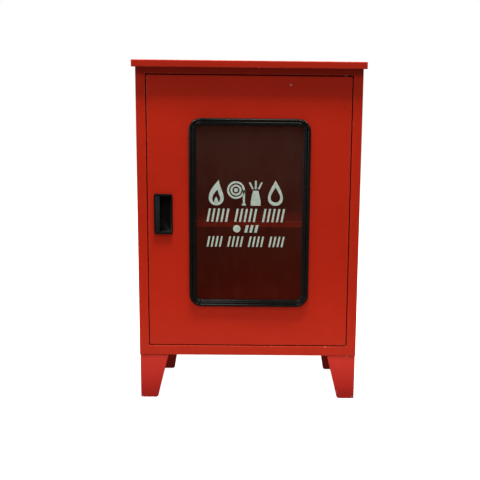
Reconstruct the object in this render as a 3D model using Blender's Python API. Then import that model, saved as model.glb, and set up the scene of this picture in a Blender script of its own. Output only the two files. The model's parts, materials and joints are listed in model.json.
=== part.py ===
"""Free-standing standpipe cabinet for a fire hose: sheet-steel carcass on four legs, and a glazed door.

Metres, +Z up. The origin is on the floor under the middle of the lid. The door faces -Y, and its
hinge is at +X. "Depth" below is the distance behind the cabinet's front face.
"""
import math

import bmesh
import bpy
from mathutils import Matrix, Vector

# ---- driving dimensions ----
BODY_WIDTH = 0.500
BODY_DEPTH = 0.210
BODY_HEIGHT = 0.6557
LEG_HEIGHT = 0.104
SHEET = 0.0012
GAP = 0.0003

LID_SIDE = 0.007
LID_FRONT = 0.014
LID_BACK = 0.006
LID_EDGE = 0.0155

STILE = 0.0213
HEADER = 0.0142
BOTTOM_RAIL = 0.0226
JAMB_DEPTH = 0.0202
STOP_LIP = 0.011
REAR_RETURN = 0.015

DOOR_SIDE_GAP = 0.0022
DOOR_TOP_GAP = 0.0030
DOOR_BOTTOM_GAP = 0.0022
DOOR_DEPTH = 0.016
DOOR_RETURN = 0.010

PIVOT_FROM_EDGE = 0.013
PIVOT_DEPTH = 0.007
PIN_RADIUS = 0.003

WINDOW_WIDTH = 0.2714
WINDOW_HEIGHT = 0.4293
WINDOW_CORNER = 0.028
WINDOW_SIDE_SHIFT = 0.0015
GASKET_FACE = 0.0165
GASKET_CROWN = 0.0065
GASKET_BACK = 0.0060
GASKET_WEB = (0.0072, 0.0093)
GLASS_DEPTH = (-0.0014, 0.0026)

HANDLE_WIDTH = 0.0417
HANDLE_HEIGHT = 0.0915
HANDLE_FROM_EDGE = 0.0140
HANDLE_BELOW_MIDDLE = 0.0011
HANDLE_RIM = 0.0025
HANDLE_FLANGE = 0.003
HANDLE_PROUD = 0.004
HANDLE_WALL = 0.002
HANDLE_FLOOR_DEPTH = 0.012
HANDLE_BACK_DEPTH = 0.017

PADDLE_WIDTH = 0.0102
PADDLE_PLATE = 0.0024
PADDLE_BARREL = 0.002
PADDLE_PIN_RADIUS = 0.001
PADDLE_ARM = (0.0008, 0.0028)
LATCH_DEPTH = (0.0206, 0.0236)
LATCH_HEIGHT = 0.014
LATCH_ENGAGEMENT = 0.006
SPRING_TURNS = 6
SPRING_RADIUS = 0.0017
SPRING_WIRE = 0.00035

SHELF_TOP = 0.4130
SHELF_LIP = 0.0145
SHELF_SETBACK = 0.045
SHELF_REAR_LIP = 0.010
CLEAT = 0.015

LEG_SHEET = 0.002
LEG_INSET = 0.001
LEG_TOP = 0.065
LEG_FOOT = 0.0395
REAR_LEG_TOP = 0.076
REAR_LEG_FOOT = 0.059
LEG_FLANGE = 0.062
LEG_CORNER = 0.005
BOLT_PLACES = ((0.024, 0.048), (0.048, 0.034))
BOLT_RADIUS = 0.0038
BOLT_HOLE = 0.0042
HEX_RADIUS = 0.0075

# ---- places worked out from them ----
CENTRE_SHIFT = (LID_FRONT - LID_BACK) / 2
FRONT = -BODY_DEPTH / 2 + CENTRE_SHIFT
BACK = BODY_DEPTH / 2 + CENTRE_SHIFT
HALF = BODY_WIDTH / 2
BODY_TOP = LEG_HEIGHT + BODY_HEIGHT
LID_TOP = BODY_TOP + LID_EDGE
UNDER_LID = LID_TOP - SHEET - GAP
JAMB = HALF - STILE
HEAD = BODY_TOP - HEADER
SILL = LEG_HEIGHT + BOTTOM_RAIL
DOOR_HALF = JAMB - DOOR_SIDE_GAP
DOOR_TOP = HEAD - DOOR_TOP_GAP
DOOR_BOTTOM = SILL + DOOR_BOTTOM_GAP
DOOR_MIDDLE = (DOOR_TOP + DOOR_BOTTOM) / 2
PIVOT_X = DOOR_HALF - PIVOT_FROM_EDGE
PIVOT_Y = FRONT + PIVOT_DEPTH
HANDLE_X = -DOOR_HALF + HANDLE_FROM_EDGE + HANDLE_WIDTH / 2
HANDLE_Z = DOOR_MIDDLE - HANDLE_BELOW_MIDDLE
MOUTH_HALF = HANDLE_WIDTH / 2 - HANDLE_RIM
PADDLE_PIN_X = HANDLE_X - MOUTH_HALF + PADDLE_BARREL + GAP
PADDLE_PIN_Y = FRONT - HANDLE_PROUD + PADDLE_BARREL
ARM_TIP = FRONT + LATCH_DEPTH[1] - 0.0004
TONGUE_TIP = -JAMB + STOP_LIP - LATCH_ENGAGEMENT
TONGUE_END = HANDLE_X + 0.0085
GUIDE_END = HANDLE_X + 0.0275

RED = (0.402, 0.021, 0.010, 1)
LID_RED = (0.352, 0.015, 0.008, 1)
BLACK = (0.012, 0.013, 0.014, 1)
STEEL = (0.55, 0.55, 0.56, 1)
TINTED = (0.05, 0.02, 0.015, 0.6)


def clear_scene():
    for obj in list(bpy.data.objects):
        bpy.data.objects.remove(obj, do_unlink=True)


def material(name, colour, roughness, metallic=0.0):
    mat = bpy.data.materials.new(name)
    mat.use_nodes = True
    shader = mat.node_tree.nodes["Principled BSDF"]
    shader.inputs["Base Color"].default_value = colour
    shader.inputs["Roughness"].default_value = roughness
    shader.inputs["Metallic"].default_value = metallic
    mat.diffuse_color = colour
    return mat


def add(name, bm, mat=None, parent=None, smooth=None):
    """A bmesh in world coordinates as an object, with its origin on its parent's if it has one."""
    bmesh.ops.recalc_face_normals(bm, faces=bm.faces)
    if bm.calc_volume(signed=True) < 0:
        bmesh.ops.reverse_faces(bm, faces=bm.faces)
    mesh = bpy.data.meshes.new(name)
    bm.to_mesh(mesh)
    bm.free()
    if smooth:
        mesh.shade_smooth()
        mesh.set_sharp_from_angle(angle=math.radians(smooth))
    obj = bpy.data.objects.new(name, mesh)
    bpy.context.scene.collection.objects.link(obj)
    if mat:
        mesh.materials.append(mat)
    if parent:
        mesh.transform(Matrix.Translation(-parent.location))
        obj.parent = parent
    return obj


def axis_empty(name, location):
    empty = bpy.data.objects.new(name, None)
    empty.location = location
    bpy.context.scene.collection.objects.link(empty)
    return empty


def change_mesh(obj, tool, operation):
    """Cut the tool from an object, or join it on. The tool stays as a hidden guide."""
    tool.hide_render = True
    tool.display_type = "WIRE"
    boolean = obj.modifiers.new(tool.name, "BOOLEAN")
    boolean.object = tool
    boolean.operation = operation
    boolean.solver = "EXACT"


def cut(obj, bm, name):
    change_mesh(obj, add(obj.name + "_" + name, bm, parent=obj.parent), "DIFFERENCE")


def join(obj, bm, name):
    change_mesh(obj, add(obj.name + "_" + name, bm, parent=obj.parent), "UNION")


def box(low, high, bm=None):
    bm = bm or bmesh.new()
    low, high = Vector(low), Vector(high)
    place = Matrix.LocRotScale((low + high) / 2, None, high - low)
    bmesh.ops.create_cube(bm, size=1, matrix=place)
    return bm


def prism(outline, axis, low, high, bm=None):
    """A closed outline extruded along an axis. Its points are on the other two axes, in X, Y, Z order."""
    bm = bm or bmesh.new()
    spots = []
    for a, b in outline:
        spot = [a, b]
        spot.insert("XYZ".index(axis), low)
        spots.append(bm.verts.new(spot))
    face = bm.faces.new(spots)
    moved = bmesh.ops.extrude_face_region(bm, geom=[face])["geom"]
    step = [0.0, 0.0, 0.0]
    step["XYZ".index(axis)] = high - low
    bmesh.ops.translate(bm, vec=step, verts=[v for v in moved if isinstance(v, bmesh.types.BMVert)])
    return bm


def rod(centre, radius, length, axis="Z", segments=24, bm=None):
    """A cylinder that starts at centre and runs along an axis."""
    bm = bm or bmesh.new()
    turn = {"X": Matrix.Rotation(math.pi / 2, 4, "Y"), "Y": Matrix.Rotation(-math.pi / 2, 4, "X")}
    place = Matrix.Translation(centre) @ turn.get(axis, Matrix()) @ Matrix.Translation((0, 0, length / 2))
    bmesh.ops.create_cone(
        bm, cap_ends=True, segments=segments, radius1=radius, radius2=radius, depth=length, matrix=place
    )
    return bm


def fold(path, thickness):
    """The outline of a folded sheet: the path is its outer face, and the sheet lies to its left."""
    points = [Vector(p) for p in path]
    inner = []
    for i, p in enumerate(points):
        sides = []
        if i:
            sides.append((p - points[i - 1]).normalized())
        if i < len(points) - 1:
            sides.append((points[i + 1] - p).normalized())
        lefts = [Vector((-d.y, d.x)) for d in sides]
        mitre = sum(lefts, Vector((0, 0))) / (1 + lefts[0].dot(lefts[-1])) * (2 / len(lefts))
        inner.append(p + mitre * thickness if len(lefts) == 2 else p + lefts[0] * thickness)
    return [tuple(p) for p in points] + [tuple(p) for p in reversed(inner)]


def rounded_rectangle(centre, width, height, radius, segments=6):
    """Points round a rectangle with round corners, counter-clockwise."""
    points = []
    for quarter, (sx, sy) in enumerate(((1, 1), (-1, 1), (-1, -1), (1, -1))):
        cx = centre[0] + sx * (width / 2 - radius)
        cy = centre[1] + sy * (height / 2 - radius)
        for i in range(segments + 1):
            angle = math.pi / 2 * (quarter + i / segments)
            points.append((cx + radius * math.cos(angle), cy + radius * math.sin(angle)))
    return points


def window_outline(inset):
    """The window's outer edge, moved inwards."""
    return rounded_rectangle(
        (WINDOW_SIDE_SHIFT, DOOR_MIDDLE),
        WINDOW_WIDTH - 2 * inset,
        WINDOW_HEIGHT - 2 * inset,
        WINDOW_CORNER - inset,
    )


# ---- carcass ----
def side_panel(side, mat):
    """Rear return, side, front stile and jamb in one folded sheet. The latch side also has a stop lip."""
    jamb_end = FRONT + JAMB_DEPTH
    path = [(JAMB, jamb_end), (JAMB, FRONT), (HALF, FRONT), (HALF, BACK), (HALF - REAR_RETURN, BACK)]
    outline = [(side * x, y) for x, y in fold(path, SHEET)]
    name = ("left" if side < 0 else "right") + "_side_panel"
    panel = add(name, prism(outline, "Z", LEG_HEIGHT, UNDER_LID), mat)
    if side < 0:
        low = (-JAMB - SHEET, jamb_end - SHEET, LEG_HEIGHT)
        join(panel, box(low, (-JAMB + STOP_LIP, jamb_end, UNDER_LID)), "stop_lip")


def back_panel(mat):
    inside = HALF - SHEET - GAP
    rear = BACK - SHEET - GAP
    return add("back_panel", box((-inside, rear - SHEET, LEG_HEIGHT), (inside, rear, UNDER_LID)), mat)


def floor_panel(mat):
    inside = HALF - SHEET - GAP
    rear = BACK - 2 * (SHEET + GAP)
    low = (-inside, FRONT + JAMB_DEPTH + 2 * GAP, LEG_HEIGHT)
    floor = add("floor_panel", box(low, (inside, rear, LEG_HEIGHT + SHEET)), mat)
    holes = bmesh.new()
    for x, y in bolt_centres():
        rod((x, y, LEG_HEIGHT - SHEET), BOLT_HOLE, 3 * SHEET, bm=holes)
    cut(floor, holes, "bolt_holes")
    return floor


def rails(mat):
    """The channel under the door, and the one over it, with a hole each for a hinge pin."""
    half = JAMB - GAP
    back = FRONT + JAMB_DEPTH - SHEET - GAP
    bottom = fold([(back, LEG_HEIGHT), (FRONT, LEG_HEIGHT), (FRONT, SILL), (back, SILL)][::-1], SHEET)
    rail = add("bottom_rail", prism(bottom, "X", -half, half), mat)
    cut(rail, rod((PIVOT_X, PIVOT_Y, SILL - 2 * SHEET), PIN_RADIUS + GAP, 3 * SHEET), "pin_hole")
    top = fold([(FRONT, UNDER_LID), (FRONT, HEAD), (back, HEAD)], SHEET)
    header = add("header_rail", prism(top, "X", -half, half), mat)
    cut(header, rod((PIVOT_X, PIVOT_Y, HEAD - SHEET), PIN_RADIUS + GAP, 3 * SHEET), "pin_hole")


def roof_lid(mat):
    """A shallow pan turned upside down, with a hem that runs back in to the body under its edge."""
    low = Vector((-HALF - LID_SIDE, FRONT - LID_FRONT, BODY_TOP))
    high = Vector((HALF + LID_SIDE, BACK + LID_BACK, LID_TOP))
    wall = Vector((SHEET, SHEET, SHEET))
    lid = add("roof_lid", box(low, high), mat)
    cut(lid, box(low + wall, high - wall), "hollow")
    mouth = (-HALF - GAP, FRONT - GAP, BODY_TOP - SHEET), (HALF + GAP, BACK + GAP, BODY_TOP + 2 * SHEET)
    cut(lid, box(*mouth), "mouth")


def shelf_and_cleats(mat):
    """A tray with a lip down at the front and up at the back, resting on an angle at each side."""
    inside = HALF - SHEET - GAP
    front, back = FRONT + SHELF_SETBACK, BACK - 2 * (SHEET + GAP)
    under = SHELF_TOP - SHEET
    outline = [
        (front, SHELF_TOP), (front, SHELF_TOP - SHELF_LIP), (front + SHEET, SHELF_TOP - SHELF_LIP),
        (front + SHEET, under), (back, under), (back, SHELF_TOP + SHELF_REAR_LIP),
        (back - SHEET, SHELF_TOP + SHELF_REAR_LIP), (back - SHEET, SHELF_TOP),
    ]
    add("shelf", prism(outline, "X", -inside + GAP, inside - GAP), mat)
    top = under - GAP
    for side, name in ((-1, "left"), (1, "right")):
        angle = fold([(inside, top - CLEAT), (inside, top), (inside - CLEAT, top)], SHEET)
        angle = [(side * x, z) for x, z in angle]
        add("shelf_cleat_" + name, prism(angle, "Y", front + CLEAT, back - CLEAT), mat)


def hinge_hardware(steel, nylon, door):
    """Pivot pins in the head and the sill, the plates that hold them, and the bushes in the door."""
    plate_low, plate_high = (PIVOT_X - 0.016, FRONT + SHEET + GAP), (JAMB - SHEET, FRONT + 0.0190)
    for name, jamb, up in (("upper", HEAD + SHEET, 1), ("lower", SILL - SHEET, -1)):
        plate, head, reach = 0.004, 0.002, 0.0155
        near = jamb + up * GAP
        far = near + up * plate
        z = sorted((near, far))
        block = add(name + "_hinge_plate", box((*plate_low, z[0]), (*plate_high, z[1])), steel)
        cut(block, rod((PIVOT_X, PIVOT_Y, z[0] - SHEET), PIN_RADIUS + GAP, plate + 2 * SHEET), "pin_hole")
        pin_foot = far + up * GAP
        tip = jamb - up * reach
        pin = rod((PIVOT_X, PIVOT_Y, min(tip, pin_foot)), PIN_RADIUS, abs(tip - pin_foot))
        turned = add(name + "_hinge_pin", pin, steel, smooth=40)
        base = pin_foot if up > 0 else pin_foot - head
        join(turned, rod((PIVOT_X, PIVOT_Y, base - up * 0.0002), PIN_RADIUS * 1.6, head), "head")
        edge = DOOR_TOP if up > 0 else DOOR_BOTTOM
        clear = DOOR_TOP_GAP if up > 0 else DOOR_BOTTOM_GAP
        collar = sorted((edge + up * GAP, edge + up * (clear - 2 * GAP)))
        sleeve = sorted((edge - up * 0.0045, edge + up * (clear - 3 * GAP)))
        bush = add(
            name + "_hinge_bush",
            rod((PIVOT_X, PIVOT_Y, collar[0]), 0.0068, collar[1] - collar[0]),
            nylon, door, 40,
        )
        join(bush, rod((PIVOT_X, PIVOT_Y, sleeve[0]), 0.0047, sleeve[1] - sleeve[0]), "sleeve")
        cut(bush, rod((PIVOT_X, PIVOT_Y, edge - 0.01), PIN_RADIUS + GAP, 0.02), "bore")


# ---- legs ----
def bolt_centres():
    spots = []
    for sx in (-1, 1):
        for corner_y, sy in ((FRONT, 1), (BACK, -1)):
            spots += [(sx * (HALF - dx), corner_y + sy * dy) for dx, dy in BOLT_PLACES]
    return spots


def leg_outline(corner, inward, top_width, foot_width, top):
    """One tapered plate of a leg, with its inner bottom corner rounded."""
    inner = corner + inward * foot_width
    slope = inward * (top_width - foot_width) / top
    points = [(corner, top), (corner, 0.0)]
    for i in range(5):
        angle = math.pi / 2 * i / 4
        lift = LEG_CORNER * (1 - math.cos(angle))
        points.append((inner - inward * LEG_CORNER * (1 - math.sin(angle)) + slope * lift, lift))
    points.append((corner + inward * top_width, top))
    return points


def leg(name, sx, sy, mat):
    """An angle of folded plate: a face plate, a side plate and a flange that bolts under the floor."""
    top = LEG_HEIGHT - GAP
    x = sx * (HALF - LEG_INSET)
    y = (FRONT if sy < 0 else BACK) - sy * LEG_INSET
    face_top, face_foot = (LEG_TOP, LEG_FOOT) if sy < 0 else (REAR_LEG_TOP, REAR_LEG_FOOT)
    face = leg_outline(x, -sx, face_top, face_foot, top)
    made = add(name, prism(face, "Y", y, y - sy * LEG_SHEET), mat)
    side = leg_outline(y, -sy, LEG_TOP, LEG_FOOT, top)
    join(made, prism(side, "X", x, x - sx * LEG_SHEET), "side_plate")
    corners = sorted((x, x - sx * LEG_FLANGE)), sorted((y, y - sy * LEG_FLANGE))
    flange = box((corners[0][0], corners[1][0], top - LEG_SHEET), (corners[0][1], corners[1][1], top))
    join(made, flange, "flange")
    holes = bmesh.new()
    for bx, by in bolt_centres():
        if bx * sx > 0 and (by - CENTRE_SHIFT) * sy > 0:
            rod((bx, by, top - 2 * LEG_SHEET), BOLT_HOLE, 3 * LEG_SHEET, bm=holes)
    cut(made, holes, "bolt_holes")


def legs_and_bolts(paint, steel):
    for sx, side in ((-1, "left"), (1, "right")):
        for sy, end in ((-1, "front"), (1, "rear")):
            leg(f"{end}_{side}_leg", sx, sy, paint)
    seat = LEG_HEIGHT + SHEET + GAP
    head, shank, nut = 0.0053, 0.0150, 0.0065
    under = LEG_HEIGHT - GAP - LEG_SHEET - GAP
    for n, (x, y) in enumerate(bolt_centres(), 1):
        bolt = add(f"leg_bolt_{n}", rod((x, y, seat), HEX_RADIUS, head, segments=6), steel)
        join(bolt, rod((x, y, seat - shank), BOLT_RADIUS, shank + head / 2, segments=16), "shank")
        hexagon = add(f"leg_nut_{n}", rod((x, y, under - nut), HEX_RADIUS, nut, segments=6), steel)
        cut(hexagon, rod((x, y, under - 2 * nut), BOLT_RADIUS + GAP, 3 * nut, segments=16), "bore")


# ---- door ----
def door_panel(mat, door):
    """A pan with its edges folded back and in, cut out for the window, the handle and the bushes."""
    low = Vector((-DOOR_HALF, FRONT, DOOR_BOTTOM))
    high = Vector((DOOR_HALF, FRONT + DOOR_DEPTH, DOOR_TOP))
    wall = Vector((SHEET, SHEET, SHEET))
    panel = add("door_panel", box(low, high), mat, door)
    cut(panel, box(low + wall, high - wall), "hollow")
    mouth_low = low + Vector((DOOR_RETURN, DOOR_DEPTH / 2, DOOR_RETURN))
    mouth_high = high + Vector((-DOOR_RETURN, SHEET, -DOOR_RETURN))
    cut(panel, box(mouth_low, mouth_high), "mouth")
    window = window_outline(GASKET_WEB[0] - GAP)
    cut(panel, prism(window, "Y", FRONT - SHEET, FRONT + 2 * SHEET), "window")
    body = handle_body(GAP)
    cut(panel, prism(body, "Y", FRONT - SHEET, FRONT + 2 * SHEET), "handle_hole")
    holes = bmesh.new()
    for z in (DOOR_TOP, DOOR_BOTTOM):
        rod((PIVOT_X, PIVOT_Y, z - 2 * SHEET), 0.0047 + GAP, 4 * SHEET, bm=holes)
    cut(panel, holes, "bush_holes")


def window_gasket(mat, door):
    """A rubber moulding round the window: its outer groove grips the door, its inner one the glass."""
    outer_web, inner_web = GASKET_WEB
    glass_front, glass_back = GLASS_DEPTH
    middle, rise = GASKET_FACE / 2, GASKET_CROWN - 0.0022
    crown = [
        (middle - middle * math.cos(math.pi * i / 8), -0.0022 - rise * math.sin(math.pi * i / 8) ** 0.8)
        for i in range(9)
    ]
    profile = [(0.0, -GAP)] + crown + [
        (GASKET_FACE, glass_front - GAP), (inner_web, glass_front - GAP), (inner_web, glass_back + GAP),
        (GASKET_FACE, glass_back + GAP), (GASKET_FACE, GASKET_BACK - 0.0015),
        (GASKET_FACE - 0.0025, GASKET_BACK), (0.0025, GASKET_BACK), (0.0, GASKET_BACK - 0.0015),
        (0.0, SHEET + GAP), (outer_web, SHEET + GAP), (outer_web, -GAP),
    ]
    bm = bmesh.new()
    rings = []
    for inset, depth in profile:
        rings.append([bm.verts.new((x, FRONT + depth, z)) for x, z in window_outline(inset)])
    for ring, following in zip(rings, rings[1:] + rings[:1]):
        for i in range(len(ring)):
            bm.faces.new((ring[i - 1], ring[i], following[i], following[i - 1]))
    add("window_gasket", bm, mat, door, 35)


def window_glass(mat, door):
    outline = window_outline(GASKET_WEB[1] + GAP)
    add("window_glass", prism(outline, "Y", FRONT + GLASS_DEPTH[0], FRONT + GLASS_DEPTH[1]), mat, door)


def handle_body(margin):
    """The outline of the handle housing where it passes through the door."""
    size = HANDLE_WIDTH - 2 * HANDLE_FLANGE + 2 * margin, HANDLE_HEIGHT - 2 * HANDLE_FLANGE + 2 * margin
    return rounded_rectangle((HANDLE_X, HANDLE_Z), *size, 0.002 + margin, 3)


def handle_housing(mat, door):
    """A cup behind a bezel. The paddle's pin crosses the bezel, and its arm leaves by the back."""
    bezel = rounded_rectangle((HANDLE_X, HANDLE_Z), HANDLE_WIDTH, HANDLE_HEIGHT, 0.004, 4)
    housing = add("handle_housing", prism(bezel, "Y", FRONT - HANDLE_PROUD, FRONT - GAP), mat, door)
    join(housing, prism(handle_body(0), "Y", FRONT - 2 * GAP, FRONT + HANDLE_BACK_DEPTH), "cup")
    tall = 2 * handle_mouth_half_height()
    mouth = rounded_rectangle((HANDLE_X, HANDLE_Z), 2 * MOUTH_HALF, tall, 0.0008, 3)
    cut(housing, prism(mouth, "Y", FRONT - 2 * HANDLE_PROUD, FRONT - GAP), "mouth")
    wide = HANDLE_WIDTH - 2 * HANDLE_FLANGE - 2 * HANDLE_WALL
    recess = rounded_rectangle((HANDLE_X, HANDLE_Z), wide, tall - GAP, 0.0015, 3)
    cut(housing, prism(recess, "Y", FRONT - 2 * GAP, FRONT + HANDLE_FLOOR_DEPTH), "recess")
    half = tall / 2 - 2 * GAP
    trough = box(
        (HANDLE_X - MOUTH_HALF, FRONT - HANDLE_PROUD / 2, HANDLE_Z - half),
        (PADDLE_PIN_X + PADDLE_BARREL, FRONT + 0.0008, HANDLE_Z + half),
    )
    cut(housing, trough, "trough")
    slot = box(
        (PADDLE_PIN_X + 0.0004, FRONT + HANDLE_FLOOR_DEPTH - SHEET, HANDLE_Z - 0.0050),
        (PADDLE_PIN_X + 0.0102, FRONT + HANDLE_BACK_DEPTH + SHEET, HANDLE_Z + 0.0050),
    )
    cut(housing, slot, "arm_slot")
    reach = pin_reach() + GAP
    foot = (PADDLE_PIN_X, PADDLE_PIN_Y, HANDLE_Z - reach)
    cut(housing, rod(foot, PADDLE_PIN_RADIUS + GAP, 2 * reach, segments=16), "pin_bore")
    screws = bmesh.new()
    for z in screw_heights():
        rod((screw_x(), FRONT + 0.0130, z), 0.0018, 0.006, "Y", 12, screws)
    cut(housing, screws, "screw_holes")


def handle_mouth_half_height():
    return HANDLE_HEIGHT / 2 - HANDLE_FLANGE - HANDLE_WALL


def pin_reach():
    return HANDLE_HEIGHT / 2 - 0.0015


def screw_heights():
    return HANDLE_Z - 0.0155, HANDLE_Z + 0.0155


def screw_x():
    return HANDLE_X + 0.004


def paddle_pin(mat, door):
    foot = (PADDLE_PIN_X, PADDLE_PIN_Y, HANDLE_Z - pin_reach())
    add("paddle_pin", rod(foot, PADDLE_PIN_RADIUS, 2 * pin_reach(), segments=16), mat, door, 40)


def clamp_bracket(mat, door):
    """A strap across the back of the housing. Its bent ends bear on the door's inner face."""
    foot, top = HANDLE_Z - HANDLE_HEIGHT / 2 - 0.010, HANDLE_Z + HANDLE_HEIGHT / 2 + 0.010
    near, far = FRONT + SHEET + GAP, FRONT + HANDLE_BACK_DEPTH + GAP
    path = [(near, top), (far, top), (far, foot), (near, foot)]
    outline = fold(path[::-1], -0.0015)
    bracket = add("clamp_bracket", prism(outline, "X", HANDLE_X - 0.0150, HANDLE_X + 0.0130), mat, door)
    slot = box(
        (PADDLE_PIN_X - 0.0002, far - SHEET, HANDLE_Z - 0.0055),
        (PADDLE_PIN_X + 0.0110, far + 2 * SHEET, HANDLE_Z + 0.0055),
    )
    cut(bracket, slot, "arm_slot")
    cut_screw_holes(bracket, far - SHEET)


def cut_screw_holes(obj, y):
    holes = bmesh.new()
    for z in screw_heights():
        rod((screw_x(), y, z), 0.0023, 0.005, "Y", 12, holes)
    cut(obj, holes, "screw_holes")


def latch_guide(mat, door):
    """A boxed strap behind the clamp bracket: the tongue slides in it, the spring bears on its end."""
    near = FRONT + HANDLE_BACK_DEPTH + 0.0015 + 2 * GAP
    slot_half = LATCH_HEIGHT / 2 + 2 * GAP
    start, top = HANDLE_X - 0.0150, FRONT + LATCH_DEPTH[1] + 2 * GAP
    outer = box(
        (start, near, HANDLE_Z - slot_half - SHEET),
        (GUIDE_END + SHEET, top + SHEET, HANDLE_Z + slot_half + SHEET),
    )
    guide = add("latch_guide", outer, mat, door)
    flange = box(
        (HANDLE_X - 0.0080, near, HANDLE_Z - 0.021),
        (HANDLE_X + 0.0130, near + SHEET, HANDLE_Z + 0.021),
    )
    join(guide, flange, "flanges")
    hollow = box(
        (start - SHEET, near - SHEET, HANDLE_Z - slot_half),
        (GUIDE_END, top, HANDLE_Z + slot_half),
    )
    cut(guide, hollow, "channel")
    cut_screw_holes(guide, near - SHEET)


def handle_screws(mat, door):
    seat = FRONT + HANDLE_BACK_DEPTH + 0.0015 + 2 * GAP + SHEET + GAP
    for name, z in zip(("lower", "upper"), screw_heights()):
        head = rod((screw_x(), seat, z), 0.0034, 0.0024, "Y", 20)
        screw = add("handle_screw_" + name, head, mat, door, 40)
        shank = rod((screw_x(), FRONT + 0.0136, z), 0.0015, seat - FRONT - 0.0130, "Y", 12)
        join(screw, shank, "shank")


def handle_paddle(mat, paddle):
    """The plate that the fingers pull, its barrel on the pin, and the arm that works the tongue."""
    half = handle_mouth_half_height() - 2 * GAP
    foot, top = HANDLE_Z - half, HANDLE_Z + half
    face = FRONT - HANDLE_PROUD
    edge = PADDLE_PIN_X - PADDLE_BARREL + PADDLE_WIDTH
    plate = box((PADDLE_PIN_X, face, foot), (edge, face + PADDLE_PLATE, top))
    made = add("handle_paddle", plate, mat, paddle)
    barrel = rod((PADDLE_PIN_X, PADDLE_PIN_Y, foot), PADDLE_BARREL, 2 * half, segments=20)
    join(made, barrel, "barrel")
    near, far = PADDLE_ARM
    arm = box(
        (PADDLE_PIN_X + near, face + PADDLE_PLATE / 2, HANDLE_Z - 0.004),
        (PADDLE_PIN_X + far, ARM_TIP, HANDLE_Z + 0.004),
    )
    join(made, arm, "arm")
    bore = rod((PADDLE_PIN_X, PADDLE_PIN_Y, foot - half), PADDLE_PIN_RADIUS + GAP, 4 * half, segments=16)
    cut(made, bore, "bore")


def latch_tongue(mat, latch):
    """A flat bar with a bevelled tip, which the closing door pushes in, and a window for the arm."""
    near, far = FRONT + LATCH_DEPTH[0], FRONT + LATCH_DEPTH[1]
    outline = [
        (TONGUE_TIP, near), (TONGUE_TIP, near + 0.0008), (TONGUE_TIP + 0.0060, far),
        (TONGUE_END, far), (TONGUE_END, near),
    ]
    half = LATCH_HEIGHT / 2
    tongue = add("latch_tongue", prism(outline, "Z", HANDLE_Z - half, HANDLE_Z + half), mat, latch)
    window = box(
        (PADDLE_PIN_X - 0.0003, near - SHEET, HANDLE_Z - 0.0046),
        (PADDLE_PIN_X + 0.0036, far + SHEET, HANDLE_Z + 0.0046),
    )
    cut(tongue, window, "arm_window")


def latch_spring(mat, door):
    """A compression spring between the tongue and the end of its guide."""
    start, end = TONGUE_END + GAP + SPRING_WIRE, GUIDE_END - GAP - SPRING_WIRE
    steps = 12 * SPRING_TURNS
    curve = bpy.data.curves.new("latch_spring", "CURVE")
    curve.dimensions = "3D"
    curve.bevel_depth = SPRING_WIRE
    curve.bevel_resolution = 2
    curve.use_fill_caps = True
    line = curve.splines.new("POLY")
    line.points.add(steps)
    middle = FRONT + sum(LATCH_DEPTH) / 2 - 0.0004
    for i, point in enumerate(line.points):
        angle = 2 * math.pi * i / 12
        along = start + (end - start) * i / steps
        across, up = SPRING_RADIUS * math.cos(angle), SPRING_RADIUS * math.sin(angle)
        point.co = (*(Vector((along, middle + across, HANDLE_Z + up)) - door.location), 1)
    curve.materials.append(mat)
    spring = bpy.data.objects.new("latch_spring", curve)
    bpy.context.scene.collection.objects.link(spring)
    spring.parent = door


def door_bumpers(mat):
    """Rubber buttons on the stop lip, which the closed door rests against."""
    near = FRONT + DOOR_DEPTH + GAP
    far = FRONT + JAMB_DEPTH - SHEET - GAP
    x = -JAMB + STOP_LIP / 2 + 0.0008
    for name, z in (("lower", DOOR_BOTTOM + 0.060), ("upper", DOOR_TOP - 0.060)):
        add("door_bumper_" + name, rod((x, near, z), 0.0042, far - near, "Y", 20), mat, None, 40)


def main():
    clear_scene()
    red = material("red_paint", RED, 0.38)
    lid_red = material("lid_paint", LID_RED, 0.38)
    black = material("black_rubber", BLACK, 0.45)
    plastic = material("black_plastic", BLACK, 0.35)
    steel = material("zinc_steel", STEEL, 0.35, 1.0)
    nylon = material("white_nylon", (0.75, 0.74, 0.70, 1), 0.5)
    glass = material("tinted_glass", TINTED, 0.05)

    door = axis_empty("door_hinge_axis", (PIVOT_X, PIVOT_Y, DOOR_MIDDLE))
    paddle = axis_empty("paddle_axis", (PADDLE_PIN_X, PADDLE_PIN_Y, HANDLE_Z))
    latch = axis_empty("latch_line", (TONGUE_TIP, FRONT + LATCH_DEPTH[0], HANDLE_Z))

    for side in (-1, 1):
        side_panel(side, red)
    back_panel(red)
    floor_panel(red)
    rails(red)
    roof_lid(lid_red)
    shelf_and_cleats(red)
    legs_and_bolts(red, steel)
    door_bumpers(black)
    hinge_hardware(steel, nylon, door)
    door_panel(red, door)
    window_gasket(black, door)
    window_glass(glass, door)
    handle_housing(plastic, door)
    paddle_pin(steel, door)
    clamp_bracket(steel, door)
    latch_guide(steel, door)
    handle_screws(steel, door)
    latch_spring(steel, door)
    handle_paddle(plastic, paddle)
    latch_tongue(steel, latch)


main()
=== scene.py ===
"""The looks of a free-standing standpipe cabinet for a fire hose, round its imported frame.

Metres, +Z up. The door faces -Y, and its hinge is at +X. Run it as a script in Blender.
"""

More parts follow.
